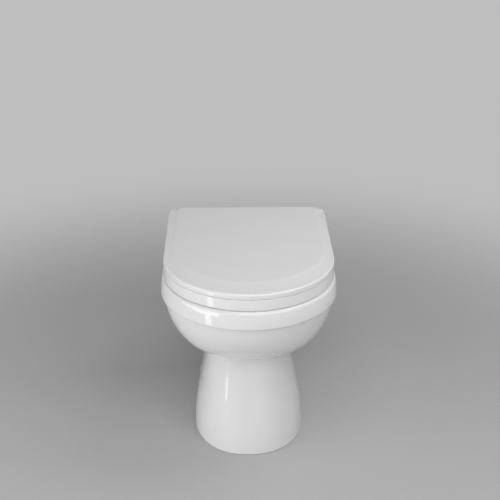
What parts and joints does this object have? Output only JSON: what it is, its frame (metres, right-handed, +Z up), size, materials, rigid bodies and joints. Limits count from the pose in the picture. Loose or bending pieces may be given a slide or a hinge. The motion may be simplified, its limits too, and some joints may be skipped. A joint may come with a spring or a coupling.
{
  "type": "back to wall toilet",
  "caption": "Back to wall toilet: china pan with trap, outlet spigot and flush inlet, D-shaped soft-close seat and lid on quick release hinges, and its floor fixings.",
  "frame": {"origin": "on the floor, under the middle of the pan's box", "axes": "+X to the right of a person facing the toilet, +Y towards the wall behind it, +Z up"},
  "size_m": [0.374, 0.5009, 0.44],
  "materials": {
    "china": "white glaze, high gloss",
    "seat_resin": "white thermoset resin, moulded, gloss",
    "hinge_metal": "chrome plated zinc",
    "fixing_steel": "zinc plated steel",
    "nylon": "moulded nylon",
    "dark_rubber": "moulded rubber",
    "soft_buffer": "soft white rubber",
    "damper_plastic": "moulded acetal"
  },
  "bodies": {
    "pan": {"pan_shroud": "china", "pan_rim": "china", "pan_basin": "china", "pan_trapway": "china", "pan_inlet": "china", "inlet_seal": "dark_rubber", "post_gaskets": "dark_rubber", "hinge_post_left": "hinge_metal", "hinge_post_right": "hinge_metal", "seat_bolts": "fixing_steel", "cone_washers": "dark_rubber", "steel_washers": "fixing_steel", "wing_nuts": "nylon", "floor_bracket_left": "nylon", "floor_bracket_right": "nylon", "screw_cups": "nylon", "side_screws": "fixing_steel", "side_caps": "seat_resin"},
    "hinge_carrier": {"hinge_block_left": "hinge_metal", "hinge_block_right": "hinge_metal", "button_springs": "fixing_steel"},
    "button_left": {"release_button_left": "seat_resin"},
    "button_right": {"release_button_right": "seat_resin"},
    "seat": {"seat_ring": "seat_resin", "seat_buffers": "soft_buffer", "seat_damper": "damper_plastic", "seat_pin": "fixing_steel"},
    "lid": {"lid": "seat_resin", "lid_buffers": "soft_buffer", "lid_damper": "damper_plastic", "lid_pin": "fixing_steel"}
  },
  "joints": [
    {"name": "lift_off", "type": "slide", "parent": "pan", "child": "hinge_carrier", "axis": [0, 0, 1], "range_m": [0, 0.03]},
    {"name": "button_left_press", "type": "slide", "parent": "hinge_carrier", "child": "button_left", "axis": [0, 1, 0], "range_m": [0, 0.0025], "stiffness_N_per_m": 400, "springref_m": -0.0025},
    {"name": "button_right_press", "type": "slide", "parent": "hinge_carrier", "child": "button_right", "axis": [0, 1, 0], "range_m": [0, 0.0025], "stiffness_N_per_m": 400, "springref_m": -0.0025},
    {"name": "seat_hinge", "type": "hinge", "parent": "hinge_carrier", "child": "seat", "pos_m": [0, 0.1905, 0.419], "axis": [-1, 0, 0], "range_deg": [0, 95]},
    {"name": "lid_hinge", "type": "hinge", "parent": "seat", "child": "lid", "pos_m": [0, 0.1905, 0.419], "axis": [1, 0, 0], "range_deg": [-95, 0]}
  ]
}
